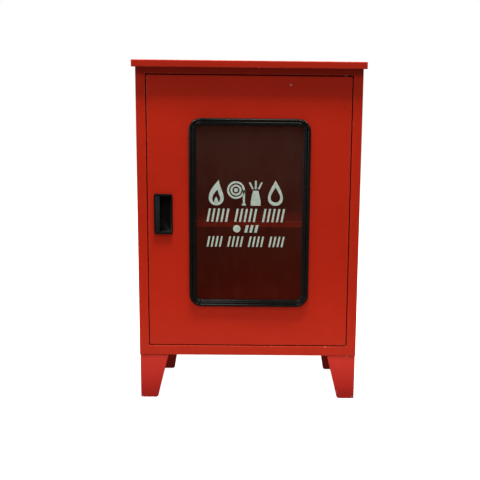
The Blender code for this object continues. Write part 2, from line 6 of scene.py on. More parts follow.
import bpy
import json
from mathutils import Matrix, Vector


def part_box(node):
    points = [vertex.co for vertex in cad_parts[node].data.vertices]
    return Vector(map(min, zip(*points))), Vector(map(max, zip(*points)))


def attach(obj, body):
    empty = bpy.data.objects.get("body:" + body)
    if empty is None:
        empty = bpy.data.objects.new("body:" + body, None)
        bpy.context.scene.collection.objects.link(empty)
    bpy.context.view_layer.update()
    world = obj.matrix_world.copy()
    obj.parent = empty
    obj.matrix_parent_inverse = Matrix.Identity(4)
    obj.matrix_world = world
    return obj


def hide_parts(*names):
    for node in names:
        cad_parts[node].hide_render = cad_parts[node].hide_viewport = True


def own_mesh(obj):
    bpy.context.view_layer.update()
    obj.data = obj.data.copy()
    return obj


bl_info = {
    "name": "Standpipe cabinet",
    "version": (1, 0, 0),
    "blender": (4, 5, 0),
    "location": "3D View > Sidebar > Cabinet",
    "description": "Models and paints a hose cabinet round its packed frame",
    "category": "Object",
}

import json
import math

import bmesh
import bpy
from bpy.props import FloatProperty, FloatVectorProperty, IntProperty, PointerProperty
from mathutils import Matrix, Vector

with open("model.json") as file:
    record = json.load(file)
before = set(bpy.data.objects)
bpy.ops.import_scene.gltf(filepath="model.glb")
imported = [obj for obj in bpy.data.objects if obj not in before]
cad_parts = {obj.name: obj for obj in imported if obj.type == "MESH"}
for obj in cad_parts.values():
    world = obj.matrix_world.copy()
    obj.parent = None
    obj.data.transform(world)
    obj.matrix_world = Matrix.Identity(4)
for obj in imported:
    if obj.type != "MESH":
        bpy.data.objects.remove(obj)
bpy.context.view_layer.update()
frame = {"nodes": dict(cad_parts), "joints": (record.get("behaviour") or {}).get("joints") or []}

MERGE = 1e-5
SHARP = math.radians(50)
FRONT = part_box("door_panel")[0].y
SHEET = 0.0012
LEG_SHEET = 0.002
CLAMP_SHEET = 0.0015
# The clearance between parts that touch or fit together.
GAP = 0.0003
# Edges shorter than this belong to small holes and arcs, and stay as they are.
SHORT = 0.003
# The middle of the painted shade on the latch tongue, where it shows through the handle's slot.
TONGUE_SHADE_CENTRE = (-0.196, -0.079, 0.4345)


# ---- settings ----
def length(name, description, default):
    return FloatProperty(
        name=name, description=description, default=default, subtype="DISTANCE", unit="LENGTH", precision=5
    )


def colour(name, description, default):
    return FloatVectorProperty(
        name=name, description=description, default=default, subtype="COLOR", size=3, min=0, max=1
    )


def share(name, description, default):
    return FloatProperty(name=name, description=description, default=default, min=0, max=1, subtype="FACTOR")


def angle(name, description, degrees):
    return FloatProperty(name=name, description=description, default=math.radians(degrees), subtype="ANGLE")


def power(name, description, watts):
    return FloatProperty(name=name, description=description + ", in watts", default=watts, min=0)


class SteelSettings(bpy.types.PropertyGroup):
    fold: length("Fold", "Outer radius of a fold in the body's sheet", 0.0016)
    inner_fold: length("Inner fold", "Inner radius of a fold", 0.0005)
    seam: length("Seam", "Radius of the stile's edge where a rail is welded to it", 0.0007)
    leg_fold: length("Leg fold", "Outer radius of a leg's fold", 0.0018)
    rim: length("Cut edge", "Radius of a cut edge under its paint", 0.00025)
    segments: IntProperty(name="Segments", description="Faces round an outer fold", default=4, min=2, max=8)


class PaintSettings(bpy.types.PropertyGroup):
    body: colour("Body", "Paint of the body and the door", (0.430, 0.0170, 0.0045))
    lid: colour("Lid", "Paint of the lid, from a duller batch", (0.350, 0.0155, 0.0050))
    # Painted light: the legs' red is the body's made pinker and lighter, standing in for light bounced up
    # from the floor.
    leg: colour("Legs", "Paint of the legs, a pinker batch", (0.530, 0.0250, 0.0175))
    roughness: share("Roughness", "Middle roughness of the paint", 0.36)
    peel: length("Orange peel", "Height of the orange peel", 0.00002)
    wave: length("Waves", "Height of the sheet's slow waves", 0.0006)
    wear: share("Wear", "How much of the paint has gone from its edges", 0.35)


class WindowSettings(bpy.types.PropertyGroup):
    corner: length("Corner", "Outer radius of the rubber's corners", 0.028)
    face: length("Face", "Width of the rubber's face", 0.0165)
    pinch: length("Pinch", "How far the kinks stand out in the rubber's corners", 0.0011)
    rubber: colour("Rubber", "Colour of the window rubber", (0.0036, 0.0038, 0.0034))
    tint: colour("Tint", "Colour of the glass", (0.064, 0.0085, 0.0035))
    opacity: share("Opacity", "How much each face of the glass hides", 0.27)
    emblem: colour("Emblem", "Vinyl on the glass", (0.43, 0.54, 0.485))
    vinyl: length("Vinyl", "Thickness of the emblem", 0.00012)


class HardwareSettings(bpy.types.PropertyGroup):
    zinc: colour("Zinc", "Colour of plated steel", (0.60, 0.59, 0.56))
    nylon: colour("Nylon", "Colour of the hinge bushes", (0.018, 0.018, 0.019))
    plastic: colour("Plastic", "Colour of the handle", (0.0030, 0.0032, 0.0034))
    paddle: colour("Paddle", "Colour of the paddle", (0.0075, 0.0115, 0.0135))
    pitch: length("Pitch", "Pitch of the leg bolts' threads", 0.00125)
    chamfer: length("Chamfer", "Chamfer on turned ends and hexagons", 0.0005)
    edge: length("Edge", "Radius of a small plate's edges", 0.0003)
    steps: IntProperty(name="Steps", description="Faces round a turned part", default=32, min=12, max=64)


class StageSettings(bpy.types.PropertyGroup):
    place: FloatVectorProperty(
        name="Camera", description="Where the camera stands", default=(0.0305, -2.1328, 0.775),
        subtype="XYZ", unit="LENGTH",
    )
    turn: angle("Turn", "Camera turned to +X", 0.67)
    dip: angle("Dip", "Camera tipped down", 11.08)
    roll: angle("Roll", "Camera rolled", 0.65)
    lens: FloatProperty(name="Lens", description="Focal length in mm", default=68.58, min=10, max=200)
    shift: FloatProperty(name="Shift", description="Sideways shift of the frame", default=-0.0676)
    lamp: power("Lamp", "Power of the ceiling lamp", 172)
    softbox: power("Softbox", "Power of the front softbox", 53)
    window: power("Window", "Power of the cool side light", 10)
    bounce: power("Bounce", "Power of the light off the floor", 1.6)
    corner: power("Corners", "Power of each small high lamp", 8)
    rear: power("Rear", "Power of each softbox behind", 45)
    sky: FloatProperty(name="Sky", description="Strength of the light from all round", default=0.125, min=0)
    floor: colour("Floor", "Colour of the floor", (0.50, 0.50, 0.50))
    glow: share("Glow", "Light that the floor gives off, which keeps it pale", 0.93)


GROUPS = {
    "steel": SteelSettings,
    "paint": PaintSettings,
    "window": WindowSettings,
    "hardware": HardwareSettings,
    "stage": StageSettings,
}


def settings(name):
    """One group of the user's settings, by its name in GROUPS."""
    return getattr(bpy.context.scene, "cabinet_" + name)


# ---- shader building ----
class Value:
    """A shader socket that takes part in arithmetic."""

    def __init__(self, graph, socket):
        self.graph = graph
        self.socket = socket

    def maths(self, operation, first, second):
        return self.graph.node("ShaderNodeMath", {"operation": operation}, {0: first, 1: second})

    def __add__(self, other):
        return self.maths("ADD", self, other)

    __radd__ = __add__

    def __sub__(self, other):
        return self.maths("SUBTRACT", self, other)

    def __rsub__(self, other):
        return self.maths("SUBTRACT", other, self)

    def __mul__(self, other):
        return self.maths("MULTIPLY", self, other)

    __rmul__ = __mul__

    def __gt__(self, other):
        return self.maths("GREATER_THAN", self, other)


class Graph:
    """The nodes of one material."""

    def __init__(self, name):
        self.material = bpy.data.materials.new(name)
        self.material.use_nodes = True
        self.tree = self.material.node_tree
        self.tree.nodes.clear()

    def node(self, kind, options, inputs, output=0):
        """A node of a kind, with its options set first, then the values or links of its inputs."""
        made = self.tree.nodes.new(kind)
        for key, value in options.items():
            if key == "stops":
                self.fill_ramp(made.color_ramp, value)
            else:
                setattr(made, key, value)
        for key, value in inputs.items():
            if isinstance(value, Value):
                self.tree.links.new(value.socket, made.inputs[key])
            else:
                made.inputs[key].default_value = value
        return Value(self, made.outputs[output]) if made.outputs else None

    @staticmethod
    def fill_ramp(ramp, stops):
        ramp.elements.remove(ramp.elements[1])
        for i, (place, level) in enumerate(stops):
            stop = ramp.elements[0] if i == 0 else ramp.elements.new(place)
            stop.position = place
            stop.color = (level, level, level, 1)

    def place(self, scale=(1, 1, 1)):
        """Object coordinates in metres, stretched by a scale."""
        point = self.node("ShaderNodeTexCoord", {}, {}, "Object")
        return self.node("ShaderNodeMapping", {}, {"Vector": point, "Scale": scale})

    def noise(self, place, scale, detail=2.0, roughness=0.5, distortion=0.0):
        inputs = {
            "Vector": place, "Scale": scale, "Detail": detail, "Roughness": roughness,
            "Distortion": distortion,
        }
        return self.node("ShaderNodeTexNoise", {}, inputs)

    def cells(self, place, scale):
        return self.node("ShaderNodeTexVoronoi", {}, {"Vector": place, "Scale": scale})

    def ramp(self, value, *stops):
        return self.node("ShaderNodeValToRGB", {"stops": stops}, {"Fac": value})

    def blend(self, factor, first, second):
        """A colour between two, as the factor goes from 0 to 1."""
        first, second = [(*c, 1) if isinstance(c, tuple) else c for c in (first, second)]
        return self.node("ShaderNodeMix", {"data_type": "RGBA"}, {0: factor, 6: first, 7: second}, 2)

    def spot(self, centre, radius):
        """1 inside a ball, fading to 0 at its radius."""
        point = self.node("ShaderNodeTexCoord", {}, {}, "Object")
        away = self.node("ShaderNodeVectorMath", {"operation": "DISTANCE"}, {0: point, 1: centre}, "Value")
        return self.ramp(away * (1 / radius), (0.3, 1), (1.0, 0))

    def facing_up(self):
        """How far a surface faces upwards, from 0 to 1."""
        normal = self.node("ShaderNodeNewGeometry", {}, {}, "Normal")
        height = self.node("ShaderNodeSeparateXYZ", {}, {"Vector": normal}, "Z")
        return self.ramp(height, (0.55, 0), (0.98, 1))

    def edge(self):
        """1 on rounded edges, 0 on flat faces."""
        return self.node("ShaderNodeAttribute", {"attribute_name": "edge"}, {}, "Fac")

    def bump(self, height):
        """A normal from a height in metres."""
        return self.node("ShaderNodeBump", {}, {"Strength": 1.0, "Distance": 1.0, "Height": height})

    def surface(self, **inputs):
        """The finished material, with a Principled shader that takes these inputs."""
        named = {key.replace("_", " "): value for key, value in inputs.items()}
        shader = self.node("ShaderNodeBsdfPrincipled", {}, named)
        self.node("ShaderNodeOutputMaterial", {}, {"Surface": shader})
        return self.material


def tone(shade, factor):
    """A colour made lighter or darker by a factor."""
    return tuple(min(1.0, c * factor) for c in shade)


# ---- materials ----
def painted(name, shade, chips=()):
    """Sprayed enamel on steel: orange peel, slow waves, cloudy colour, worn edges, and a few chips."""
    paint = settings("paint")
    g = Graph(name)
    place = g.place()
    shade = tuple(shade)
    cloud = g.noise(place, 4.5, 3, 0.55)
    mottle = g.noise(place, 42, 3, 0.6)
    grain = g.noise(place, 320, 2, 0.6)
    peel = g.noise(place, 560, 1.5, 0.45)
    slow = g.noise(place, 3.2, 1, 0.4)
    rubbed = g.noise(place, 120, 3, 0.65)
    edge = g.edge()

    drift = g.ramp(cloud * 0.55 + mottle * 0.30 + grain * 0.15, (0.34, 0), (0.66, 1))
    base = g.blend(drift, tone(shade, 0.93), tone(shade, 1.07))
    undercoat, scraped, dust_and_top_shade = (0.55, 0.11, 0.07), (0.42, 0.30, 0.26), (0.24, 0.10, 0.08)
    thin = g.ramp(rubbed, (0.42, 0), (0.60, 1)) * edge * paint.wear
    base = g.blend(thin, base, undercoat)
    bare = g.ramp(rubbed, (0.665, 0), (0.685, 1)) * edge * paint.wear
    for centre, radius in chips:
        bare = bare + g.spot(centre, radius) * (g.noise(place, 700, 2, 0.7) > 0.47)
    base = g.blend(bare, base, scraped)
    # Dust on what faces up, in a darker red: real dust, and also painted shade that keeps the tops from
    # looking too bright under the lamp.
    dust = g.facing_up() * g.ramp(g.noise(place, 26, 4, 0.6), (0.35, 0.02), (0.75, 0.14))
    base = g.blend(dust, base, dust_and_top_shade)

    stroke = g.noise(g.place((60, 60, 9)), 1.0, 3, 0.5)
    # The three noises average a half, so half of their shares comes off the middle.
    rough = cloud * 0.10 + grain * 0.05 + stroke * 0.06 + dust * 0.9 + bare * 0.25 + (paint.roughness - 0.105)
    height = peel * paint.peel + slow * paint.wave + mottle * 0.00003 - bare * 0.00008
    return g.surface(
        Base_Color=base, Roughness=rough, Normal=g.bump(height), IOR=1.5, Specular_IOR_Level=0.22,
        Coat_Weight=0.05, Coat_Roughness=0.22,
    )


def moulded(name, shade, roughness, texture, dusting, deep=None, gloss=0.28):
    """Black rubber or plastic: a fine moulded texture, a greyish bloom, and dust on what faces up.

    Deep is the Y from which it darkens: painted shade, deeper in the handle's recess.
    """
    g = Graph(name)
    place = g.place()
    shade = tuple(shade)
    grey_dust = (0.10, 0.085, 0.075)
    bloom = g.ramp(g.noise(place, 34, 4, 0.6), (0.40, 0), (0.72, 1))
    grain = g.noise(place, texture, 2, 0.6)
    streak = g.noise(g.place((170, 170, 22)), 1.0, 3, 0.5)
    base = g.blend(bloom * 0.45, shade, tone(shade, 1.9))
    dust = g.facing_up() * g.ramp(g.noise(place, 60, 4, 0.65), (0.38, 0), (0.70, dusting))
    base = g.blend(dust, base, grey_dust)
    if deep is not None:
        # Painted shade: the colour falls to an eighth of itself further back than deep, in the recess.
        depth = g.node("ShaderNodeSeparateXYZ", {}, {"Vector": place}, "Y") - deep
        base = g.blend(g.ramp(depth * 150, (0.1, 0), (0.9, 1)), base, tone(shade, 0.12))
    rough = bloom * 0.08 + streak * 0.10 + grain * 0.06 + dust * 0.6 + (roughness - 0.10)
    height = grain * 0.000008 + streak * 0.000008
    return g.surface(
        Base_Color=base, Roughness=rough, Normal=g.bump(height), IOR=1.5, Specular_IOR_Level=gloss
    )


def zinc_plate():
    """Plated steel: faint spangle, drawn scratches along one way, a warm and cool drift of colour, and
    painted shade on the latch tongue.
    """
    g = Graph("zinc_plate")
    place = g.place()
    shade = tuple(settings("hardware").zinc)
    cool_tone, stained, tongue_shade = (0.60, 0.60, 0.61), (0.30, 0.25, 0.19), (0.020, 0.018, 0.015)
    spangle = g.cells(place, 650)
    drift = g.noise(place, 85, 3, 0.6)
    drawn = g.noise(g.place((2600, 300, 300)), 1.0, 2, 0.6)
    stain = g.ramp(g.noise(place, 150, 4, 0.7), (0.60, 0), (0.72, 1))
    base = g.blend(g.ramp(drift, (0.38, 0), (0.62, 1)), tone(shade, 0.84), cool_tone)
    base = g.blend(stain * 0.5, base, stained)
    # Painted shade: a near-black spot on the latch tongue where it shows through the slot in the handle.
    base = g.blend(g.spot(TONGUE_SHADE_CENTRE, 0.012), base, tongue_shade)
    rough = spangle * 0.12 + drawn * 0.12 + drift * 0.1 + stain * 0.18 + 0.18
    height = drawn * 0.000006 + spangle * 0.000008
    return g.surface(Base_Color=base, Metallic=1.0, Roughness=rough, Normal=g.bump(height))


def nylon():
    """Black nylon: a soft drift of tone, a fine grain, and grime in spots."""
    g = Graph("nylon")
    place = g.place()
    shade = tuple(settings("hardware").nylon)
    drift = g.noise(place, 120, 3, 0.6)
    grime = g.ramp(g.noise(place, 300, 4, 0.7), (0.52, 0), (0.74, 1))
    base = g.blend(drift, tone(shade, 0.92), tone(shade, 1.05))
    base = g.blend(grime * 0.5, base, (0.10, 0.085, 0.07))
    rough = drift * 0.15 + grime * 0.2 + 0.38
    return g.surface(
        Base_Color=base, Roughness=rough, Normal=g.bump(g.noise(place, 1400, 2) * 0.00001),
        Subsurface_Weight=0.1, Subsurface_Radius=(0.002, 0.002, 0.0015), Subsurface_Scale=0.5,
    )


def tinted_glass():
    """Smoked sheet: dark, thin enough to show the shelf, with a faint bow, smears and dust, and a painted
    reflection that pales it towards the top.
    """
    window = settings("window")
    g = Graph("tinted_glass")
    place = g.place()
    shade = tuple(window.tint)
    reflection_tone, dusty = (0.080, 0.058, 0.046), (0.34, 0.27, 0.22)
    film = g.ramp(g.noise(g.place((5, 5, 3)), 1.0, 4, 0.6, 0.6), (0.38, 0), (0.70, 1))
    smear = g.ramp(g.noise(g.place((55, 55, 14)), 1.0, 4, 0.6, 1.5), (0.50, 0), (0.78, 1))
    speck = g.ramp(g.noise(place, 800, 2, 0.6), (0.70, 0), (0.76, 1))
    # Painted reflection: the glass turns a brownish grey towards the top, standing in for the room reflected
    # in it.
    rise = g.node("ShaderNodeSeparateXYZ", {}, {"Vector": place}, "Z")
    reflection_rise = g.ramp(rise, (0.30, 0), (0.64, 1))
    base = g.blend(film * 0.75, shade, tone(shade, 1.7))
    base = g.blend(reflection_rise * film * 0.55 + reflection_rise * 0.25, base, reflection_tone)
    base = g.blend(smear * 0.06 + speck * 0.10, base, dusty)
    rough = film * 0.05 + smear * 0.12 + speck * 0.2 + 0.05
    height = g.noise(place, 7, 1) * 0.0003 + speck * 0.00001
    return g.surface(
        Base_Color=base, Roughness=rough, Normal=g.bump(height), IOR=1.49, Specular_IOR_Level=0.2,
        Alpha=window.opacity,
    )


def vinyl():
    """Cut film on the glass: pale grey-green, a little chalky, with worn and lifted spots."""
    g = Graph("vinyl")
    place = g.place()
    shade = tuple(settings("window").emblem)
    chalk = g.noise(place, 160, 4, 0.65)
    scuff = g.ramp(g.noise(place, 420, 3, 0.7), (0.60, 0), (0.74, 1))
    base = g.blend(g.ramp(chalk, (0.35, 0), (0.65, 1)), tone(shade, 0.84), tone(shade, 1.08))
    base = g.blend(scuff * 0.6, base, tone(shade, 0.52))
    rough = chalk * 0.2 + scuff * 0.2 + 0.35
    return g.surface(Base_Color=base, Roughness=rough, Normal=g.bump(chalk * 0.00004), Specular_IOR_Level=0.4)


def floor_finish():
    """Pale matt screed with a faint cloudiness."""
    stage = settings("stage")
    g = Graph("floor_finish")
    place = g.place()
    shade = tuple(stage.floor)
    cloud = g.noise(place, 1.4, 4, 0.6)
    grain = g.noise(place, 160, 3, 0.6)
    base = g.blend(cloud, tone(shade, 0.97), tone(shade, 1.02))
    return g.surface(
        Base_Color=base, Roughness=grain * 0.15 + 0.75, Normal=g.bump(grain * 0.0001), Specular_IOR_Level=0.1,
        Emission_Color=(1, 1, 1, 1), Emission_Strength=stage.glow,
    )


# ---- mesh building ----
def new_mesh():
    """An empty mesh with a layer that marks the rounded edges."""
    bm = bmesh.new()
    bm.loops.layers.float.new("edge")
    return bm


def merged_copy(node):
    """A CAD node's mesh with its loose triangles merged and its flat faces made whole."""
    bm = new_mesh()
    bm.from_mesh(frame["nodes"][node].data)
    bmesh.ops.remove_doubles(bm, verts=bm.verts, dist=MERGE)
    bmesh.ops.dissolve_limit(bm, angle_limit=math.radians(1), verts=bm.verts, edges=bm.edges)
    return bm


def sharp_edges(bm, convex=None, shortest=0.0):
    """The edges between faces at an angle: all, or only those that stand out, or those that turn in."""
    return [
        e for e in bm.edges
        if len(e.link_faces) == 2 and e.calc_face_angle() > SHARP
        and convex in (None, e.is_convex) and e.calc_length() >= shortest
    ]


def face_width(face):
    """How wide a face is, also when it bends like the end of a channel."""
    return 2 * face.calc_area() / face.calc_perimeter()


def round_edges(bm, edges, radius, segments):
    """Bevel these edges, and note the new faces in the edge layer."""
    if not edges:
        return
    made = bmesh.ops.bevel(
        bm, geom=edges, offset=radius, offset_type="OFFSET", affect="EDGES", segments=segments,
        profile=0.5, material=-1, clamp_overlap=False, loop_slide=True,
    )
    layer = bm.loops.layers.float["edge"]
    for face in made["faces"]:
        for loop in face.loops:
            loop[layer] = 1.0


def folds(bm, sheet, convex):
    """The sharp edges between two broad faces, which are folds and not cut edges."""
    return [
        e for e in sharp_edges(bm, convex) if min(face_width(f) for f in e.link_faces) > 1.6 * sheet
    ]


def soften_sheet(bm, sheet, fold, seam_x=None):
    """Round a folded sheet's folds inside and out, and then its cut edges."""
    steel = settings("steel")
    outer = folds(bm, sheet, True)
    if seam_x is not None:
        at_seam = [e for e in outer if all(abs(abs(v.co.x) - seam_x) < MERGE * 5 for v in e.verts)]
        round_edges(bm, at_seam, steel.seam, 2)
        outer = [
            e for e in folds(bm, sheet, True)
            if not all(abs(abs(v.co.x) - seam_x) < steel.seam * 1.5 for v in e.verts)
        ]
    round_edges(bm, outer, fold, steel.segments)
    round_edges(bm, folds(bm, sheet, False), steel.inner_fold, 2)
    round_edges(bm, sharp_edges(bm), steel.rim, 2)


def folded(node, sheet=SHEET, seam_x=None):
    """A copy of a CAD node's sheet with its folds rounded."""
    bm = merged_copy(node)
    soften_sheet(bm, sheet, settings("steel").fold, seam_x)
    return bm


def keep_inside(bm, node):
    """Bring back what a bevel has pushed out of its CAD node's box."""
    low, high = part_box(node)
    for vert in bm.verts:
        vert.co = [min(max(c, a), b) for c, a, b in zip(vert.co, low, high)]


def centred(low, high, **given):
    """A move to the middle of a box, or to a place given along an axis."""
    point = (low + high) / 2
    for axis, value in given.items():
        setattr(point, axis, value)
    return Matrix.Translation(point)


def turned(profile, place=Matrix(), closed=False):
    """A profile of (radius, height) points spun round Z into a solid, and then placed."""
    bm = new_mesh()
    points = [bm.verts.new((radius, 0, height)) for radius, height in profile]
    following = points[1:] + points[:1] if closed else points[1:]
    edges = [bm.edges.new(pair) for pair in zip(points, following)]
    bmesh.ops.spin(
        bm, geom=points + edges, cent=(0, 0, 0), axis=(0, 0, 1), angle=2 * math.pi,
        steps=settings("hardware").steps, use_merge=True,
    )
    bmesh.ops.remove_doubles(bm, verts=bm.verts, dist=MERGE)
    bm.transform(place)
    bmesh.ops.recalc_face_normals(bm, faces=bm.faces)
    return bm


def add_mesh(bm, other):
    """Put a second mesh into the first, and free it."""
    mesh = bpy.data.meshes.new("part")
    other.to_mesh(mesh)
    other.free()
    bm.from_mesh(mesh)
    bpy.data.meshes.remove(mesh)


def arc(centre, radii, start, end, steps):
    """Points on an ellipse between two angles in degrees."""
    points = []
    for i in range(steps + 1):
        angle = math.radians(start + (end - start) * i / steps)
        points.append((centre[0] + radii[0] * math.cos(angle), centre[1] + radii[1] * math.sin(angle)))
    return points


def thicken(bm, faces, way):
    """Make a solid of flat faces by extruding them along a vector."""
    moved = bmesh.ops.extrude_face_region(bm, geom=faces)["geom"]
    verts = [v for v in moved if isinstance(v, bmesh.types.BMVert)]
    bmesh.ops.translate(bm, vec=way, verts=verts)
    bmesh.ops.recalc_face_normals(bm, faces=bm.faces)
    return bm


def plate(outline, y, thickness):
    """A flat outline of (x, z) points as a thin solid whose back is at y."""
    bm = new_mesh()
    face = bm.faces.new([bm.verts.new((x, y, z)) for x, z in outline])
    return thicken(bm, [face], (0, -thickness, 0))


def ring_plate(outer, inner, y, thickness):
    """The band between two outlines of equally many points, as a thin solid."""
    bm = new_mesh()
    loops = []
    for outline in (outer, inner):
        verts = [bm.verts.new((x, y, z)) for x, z in outline]
        loops += [bm.edges.new((verts[i - 1], verts[i])) for i in range(len(verts))]
    faces = bmesh.ops.bridge_loops(bm, edges=loops)["faces"]
    return thicken(bm, faces, (0, -thickness, 0))


def piece(name, bm, material, slot, body, *nodes, smooth=None):
    """A finished mesh as a named piece in its material, on its body, standing for its CAD nodes.

    Smooth is the angle past which its shading breaks. Without it, broad faces stay flat to their edges.
    """
    for face in bm.faces:
        face.smooth = True
    for edge in bm.edges:
        edge.smooth = True
    mesh = bpy.data.meshes.new(name)
    bm.to_mesh(mesh)
    bm.free()
    if "custom_normal" in mesh.attributes:
        mesh.attributes.remove(mesh.attributes["custom_normal"])
    mesh.materials.clear()
    mesh.materials.append(material)
    mesh.polygons.foreach_set("material_index", [0] * len(mesh.polygons))
    obj = bpy.data.objects.new(name, mesh)
    bpy.context.scene.collection.objects.link(obj)
    if smooth:
        mesh.set_sharp_from_angle(angle=math.radians(smooth))
    else:
        weighted = obj.modifiers.new("even_normals", "WEIGHTED_NORMAL")
        weighted.weight = 50
        weighted.keep_sharp = False
    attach(obj, body)
    if nodes:
        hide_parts(*nodes)
    return obj


def shared_material(name, maker, *values):
    """A material made once and then found by its name."""
    return bpy.data.materials.get(name) or maker(*values)


def body_paint():
    """The paint of the body and the door, with the door's two chips."""
    chips = (((0.0912, FRONT, 0.7238), 0.0032), ((0.1791, FRONT, 0.1270), 0.0034))
    return shared_material("body_paint", painted, "body_paint", settings("paint").body, chips)


def zinc():
    return shared_material("zinc_plate", zinc_plate)


def black_rubber():
    shade = settings("window").rubber
    return shared_material("rubber", moulded, "rubber", shade, 0.24, 900, 0.03, None, 0.36)


# ---- operators ----
class BuildCarcass(bpy.types.Operator):
    """Side panels, back, floor, rails, shelf and cleats, with rounded folds and paint"""
    bl_idname = "cabinet.build_carcass"
    bl_label = "Carcass"

    def execute(self, context):
        steel = settings("steel")
        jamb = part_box("bottom_rail")[1].x + GAP
        for node in ("left_side_panel", "right_side_panel"):
            piece(node + "_sheet", folded(node, seam_x=jamb), body_paint(), "red_paint", "carcass", node)
        for node in ("bottom_rail", "header_rail"):
            bm = merged_copy(node)
            for vert in bm.verts:
                if abs(abs(vert.co.x) - jamb) < 2 * GAP:
                    vert.co.x = math.copysign(jamb + steel.seam + steel.rim, vert.co.x)
            soften_sheet(bm, SHEET, steel.fold)
            piece(node + "_channel", bm, body_paint(), "red_paint", "carcass", node)
        for node in ("back_panel", "floor_panel", "shelf", "shelf_cleat_left", "shelf_cleat_right"):
            piece(node + "_sheet", folded(node), body_paint(), "red_paint", "carcass", node)
        return {"FINISHED"}


class BuildLid(bpy.types.Operator):
    """The overhanging lid, a shallow pan with rounded folds"""
    bl_idname = "cabinet.build_lid"
    bl_label = "Lid"

    def execute(self, context):
        paint = painted("lid_paint", settings("paint").lid)
        piece("lid_pan", folded("roof_lid"), paint, "red_paint", "carcass", "roof_lid")
        return {"FINISHED"}


class BuildLegs(bpy.types.Operator):
    """Four legs of folded plate"""
    bl_idname = "cabinet.build_legs"
    bl_label = "Legs"

    def execute(self, context):
        chips = (
            ((0.2300, FRONT, 0.1035), 0.0042), ((0.2073, FRONT, 0.0159), 0.0034),
            ((0.2460, FRONT, 0.0030), 0.0050), ((-0.2460, FRONT, 0.0020), 0.0045),
        )
        # The legs' paint carries painted light from the floor's bounce.
        paint = painted("leg_paint_with_bounce_light", settings("paint").leg, chips)
        for end in ("front", "rear"):
            for side in ("left", "right"):
                node = f"{end}_{side}_leg"
                bm = merged_copy(node)
                soften_sheet(bm, LEG_SHEET, settings("steel").leg_fold)
                keep_inside(bm, node)
                piece(node + "_plate", bm, paint, "red_paint", "carcass", node)
        return {"FINISHED"}


class BuildFasteners(bpy.types.Operator):
    """Leg bolts with threads, and their nuts"""
    bl_idname = "cabinet.build_fasteners"
    bl_label = "Bolts and nuts"

    SHANK = 0.0038

    def thread(self, foot, last, top):
        """A shank whose thread runs from its foot to just past a height, and which ends at its top."""
        hardware = settings("hardware")
        chamfer, pitch = hardware.chamfer, hardware.pitch
        root = self.SHANK - 0.6 * pitch / 2
        profile = [(0, foot), (root - chamfer, foot)]
        rise = foot + chamfer
        while rise < last:
            profile += [(root, rise), (self.SHANK, rise + pitch / 2)]
            rise += pitch
        profile += [(root, rise), (self.SHANK, rise + chamfer), (self.SHANK, top), (0, top)]
        return turned(profile)

    @staticmethod
    def hexagon(radius, low, high, chamfer):
        """A hexagonal prism whose flat ends are chamfered."""
        bm = new_mesh()
        middle = Matrix.Translation((0, 0, (low + high) / 2))
        bmesh.ops.create_cone(
            bm, cap_ends=True, segments=6, radius1=radius, radius2=radius, depth=high - low, matrix=middle
        )
        round_edges(bm, sharp_edges(bm), chamfer, 2)
        return bm

    def execute(self, context):
        chamfer = settings("hardware").chamfer
        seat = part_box("floor_panel")[1].z + GAP
        top = seat + 2 * chamfer
        bore = self.SHANK + GAP
        for n in range(1, 9):
            low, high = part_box(f"leg_bolt_{n}")
            nut_low, nut_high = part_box(f"leg_nut_{n}")
            place = centred(low, high, z=0)
            radius = (high.y - low.y) / 2
            washer = radius * math.cos(math.pi / 6) * 0.97
            bolt = self.hexagon(radius, seat + chamfer, high.z, chamfer)
            add_mesh(bolt, turned([(0, seat), (washer, seat), (washer, top), (0, top)]))
            add_mesh(bolt, self.thread(low.z, nut_high.z, top))
            bolt.transform(place)
            piece(f"leg_bolt_{n}_threaded", bolt, zinc(), "zinc_steel", "carcass", f"leg_bolt_{n}", smooth=30)

            section = [(bore, nut_low.z), (washer, nut_low.z), (washer, nut_high.z), (bore, nut_high.z)]
            nut = turned(section, closed=True)
            add_mesh(nut, self.nut_shell(radius, bore, nut_low.z + chamfer / 2, nut_high.z - chamfer / 2))
            nut.transform(place)
            piece(f"leg_nut_{n}_chamfered", nut, zinc(), "zinc_steel", "carcass", f"leg_nut_{n}", smooth=30)
        return {"FINISHED"}

    @staticmethod
    def nut_shell(radius, bore, low, high):
        """A hexagonal ring: a hexagon bridged to its bore and extruded."""
        bm = new_mesh()
        rings = []
        for r, segments in ((radius, 6), (bore, 24)):
            made = bmesh.ops.create_circle(
                bm, cap_ends=False, radius=r, segments=segments, matrix=Matrix.Translation((0, 0, low))
            )
            rings += list({e for v in made["verts"] for e in v.link_edges})
        faces = bmesh.ops.bridge_loops(bm, edges=rings)["faces"]
        return thicken(bm, faces, (0, 0, high - low))


